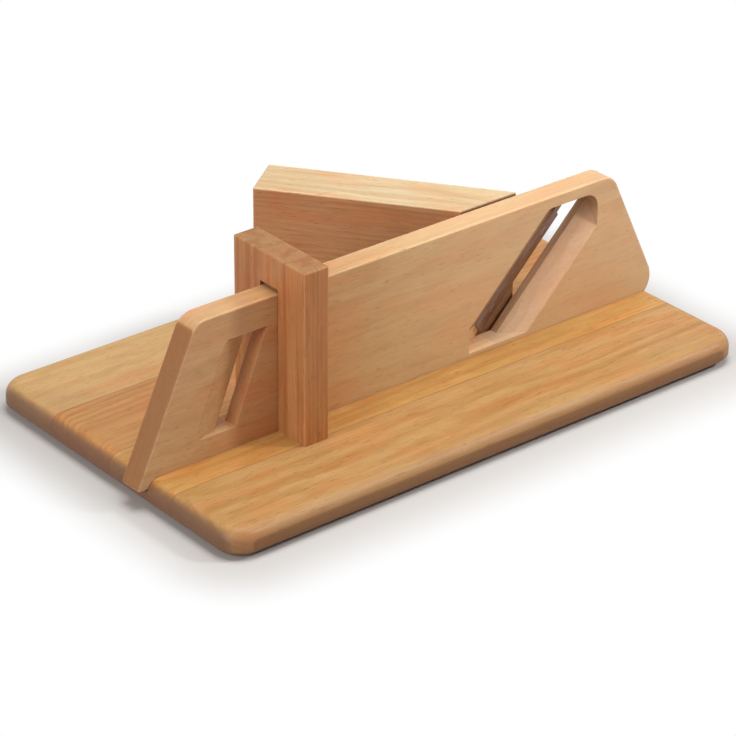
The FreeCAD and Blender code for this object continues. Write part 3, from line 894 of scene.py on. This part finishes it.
# %% The foot tree
feet = Workshop("soft foot", radius=6.5 * MM, height=2.0 * MM, rounding=0.7 * MM, waist=0.5 * MM,
                sides=48, slices=12)
wide, tall, rounding, waist = feet.sizes("radius", "height", "rounding", "waist")
sides, slices = feet.sizes("sides", "slices")
disc = feet.node("GeometryNodeMeshCylinder", None, Vertices=sides, Side_Segments=slices,
                 Radius=1.0, Depth=tall)
disc = feet.moved(disc, feet.join(up=tall * 0.5))
across, deep, level = feet.parts(feet.node("GeometryNodeInputPosition"))
low = (rounding - level).larger(0.0)
curl = rounding - (rounding.squared() - low.squared()).root()
reach = wide - curl - level / tall * waist
rounded = feet.node("GeometryNodeSetPosition", None, Geometry=disc,
                    Position=feet.join(across * reach, deep * reach, level))
feet.scatter(rounded, rubber)

# %% Put the feet on
foot_ends = [head_of(corners, UP) for corners in islands(nodes["rubber_feet"].data)]
foot_places = [(middle, (0, 0, 0)) for middle, _ in foot_ends]
soft_feet = harvest(
    carrier_of(foot_places, "foot_points"), feet, "soft_feet", radius=foot_ends[-1][1])
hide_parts("rubber_feet")
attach(soft_feet, "base")

# %% [markdown]
# ## Camera
#
# The photograph was taken with a long lens from the left, above the board. A camera could be
# turned by hand until the two pictures agree. This one's place, aim and lens come from fitting the
# board's, the plank's and the fence's edges, which gives all of them at once.

# %% Camera
YAW = 0.67699           # radians, from the board's depth towards its length
PITCH = 0.49009         # radians, downwards
ROLL = -0.0034          # radians, about the line of sight
CAMERA_PLACE = Vector((-0.9969, -1.2062, 0.8452))
NEAREST = 0.05          # what is nearer than this, in metres, isn't seen
SENSOR_WIDTH = 36.0     # millimetres
FOCAL_PIXELS = 3180.0
FRAME_PIXELS = 736      # the photograph is as wide as it is high
MIDDLE_PIXELS = (330.5, 367.6)      # where the line of sight meets it, from its upper left corner

camera = bpy.data.objects.new("camera", bpy.data.cameras.new("camera"))
bpy.context.scene.collection.objects.link(camera)
camera.data.sensor_width = SENSOR_WIDTH
camera.data.lens = FOCAL_PIXELS / FRAME_PIXELS * SENSOR_WIDTH
camera.data.shift_x = (FRAME_PIXELS / 2 - MIDDLE_PIXELS[0]) / FRAME_PIXELS
camera.data.shift_y = (MIDDLE_PIXELS[1] - FRAME_PIXELS / 2) / FRAME_PIXELS
camera.data.clip_start = NEAREST
aim = Vector((math.sin(YAW) * math.cos(PITCH), math.cos(YAW) * math.cos(PITCH), -math.sin(PITCH)))
level_turn = aim.to_track_quat("-Z", "Y").to_matrix()
camera.rotation_euler = (level_turn @ Matrix.Rotation(-ROLL, 3, "Z")).to_euler()
camera.location = CAMERA_PLACE
bpy.context.scene.camera = camera
print("lens", round(camera.data.lens, 1), "mm")

# %% [markdown]
# ## Studio
#
# A product photograph on white. A wide lamp overhead does most of the work, a small one from the
# right and the front draws the post's shadow on the plank, a wide one from the left lights the
# faces that the other two miss, and a weak warm light comes from all round. White could come from
# more light on the floor, but that light would bleach the wood too. So the floor is one pale tone
# and keeps the slicer's shadow, and for the camera it fades into plain white a little way out.

# %% Floor
WHITE = (1.0, 1.0, 1.0, 1.0)
PAPER = (0.5, 0.495, 0.49, 1.0)
FADE_STARTS = 4.0           # millimetres outside the board
FADE_ENDS = 46.0
FLOOR_SPAN = 6.0            # half the floor's width, in metres
FLOOR_LEVEL = -0.05 * MM    # a hair below the feet


def seen_directly(bench):
    """1 for what the camera sees itself, in a mirror or through glass, and 0 for plain light."""
    camera_ray, glossy, through = (
        bench.node("ShaderNodeLightPath", out=ray)
        for ray in ("Is Camera Ray", "Is Glossy Ray", "Is Transmission Ray"))
    return camera_ray.larger(glossy).larger(through)


bench = Bench("paper_floor")
fading = bench.past(past_outline(bench), 0.0, FADE_STARTS, FADE_ENDS)
lit = bench.node("ShaderNodeBsdfDiffuse", None, Color=PAPER)
white = bench.node("ShaderNodeEmission", None, Color=WHITE, Strength=1.0)
paper = bench.finish(
    bench.node("ShaderNodeMixShader", None, seen_directly(bench) * fading, lit, white))

corners = [(-1, -1), (1, -1), (1, 1), (-1, 1)]
floor_mesh = bpy.data.meshes.new("floor")
floor_mesh.from_pydata(
    [(x * FLOOR_SPAN, y * FLOOR_SPAN, FLOOR_LEVEL) for x, y in corners], [], [(0, 1, 2, 3)])
floor_mesh.materials.append(paper)
floor = bpy.data.objects.new("floor", floor_mesh)
bpy.context.scene.collection.objects.link(floor)
print("the floor is white from", FADE_ENDS, "mm outside the board")

# %% Light from all round
AIR = (1.0, 0.76, 0.66, 1.0)
AIR_STRENGTH = 0.34

world = bpy.data.worlds.new("studio")
bpy.context.scene.world = world
world.use_nodes = True
bench = Bench("studio_air", world.node_tree)
around = bench.node("ShaderNodeBackground", None, Color=AIR, Strength=AIR_STRENGTH)
backdrop = bench.node("ShaderNodeBackground", None, Color=WHITE, Strength=1.0)
mixed = bench.node("ShaderNodeMixShader", None, seen_directly(bench), around, backdrop)
bench.node("ShaderNodeOutputWorld", None, mixed)
print("world:", len(world.node_tree.nodes), "nodes")

# %% Lamps
AIM = Vector((0, 0, 0.04))      # the middle of the slicer, at which every lamp points


def lamp(name, direction, distance, size, power, tint=(1.0, 1.0, 1.0)):
    """A square soft lamp that looks at the slicer from a direction."""
    data = bpy.data.lights.new(name, "AREA")
    data.size = size
    data.energy = power
    data.color = tint
    light = bpy.data.objects.new(name, data)
    bpy.context.scene.collection.objects.link(light)
    towards = Vector(direction).normalized()
    light.location = towards * distance + AIM
    light.rotation_euler = towards.to_track_quat("Z", "Y").to_euler()
    print(f"{name} lamp: {power} W, {size} m wide, {distance} m away")


lamp("key", (0.62, -0.60, 0.62), distance=1.2, size=0.15, power=6.7)
lamp("top", (0.1, -0.15, 1.6), distance=1.8, size=1.1, power=27.3, tint=(0.96, 1.0, 0.99))
lamp("left", (-1.0, -0.12, 0.5), distance=1.8, size=0.9, power=15.5)
bpy.context.scene.view_settings.view_transform = "Standard"
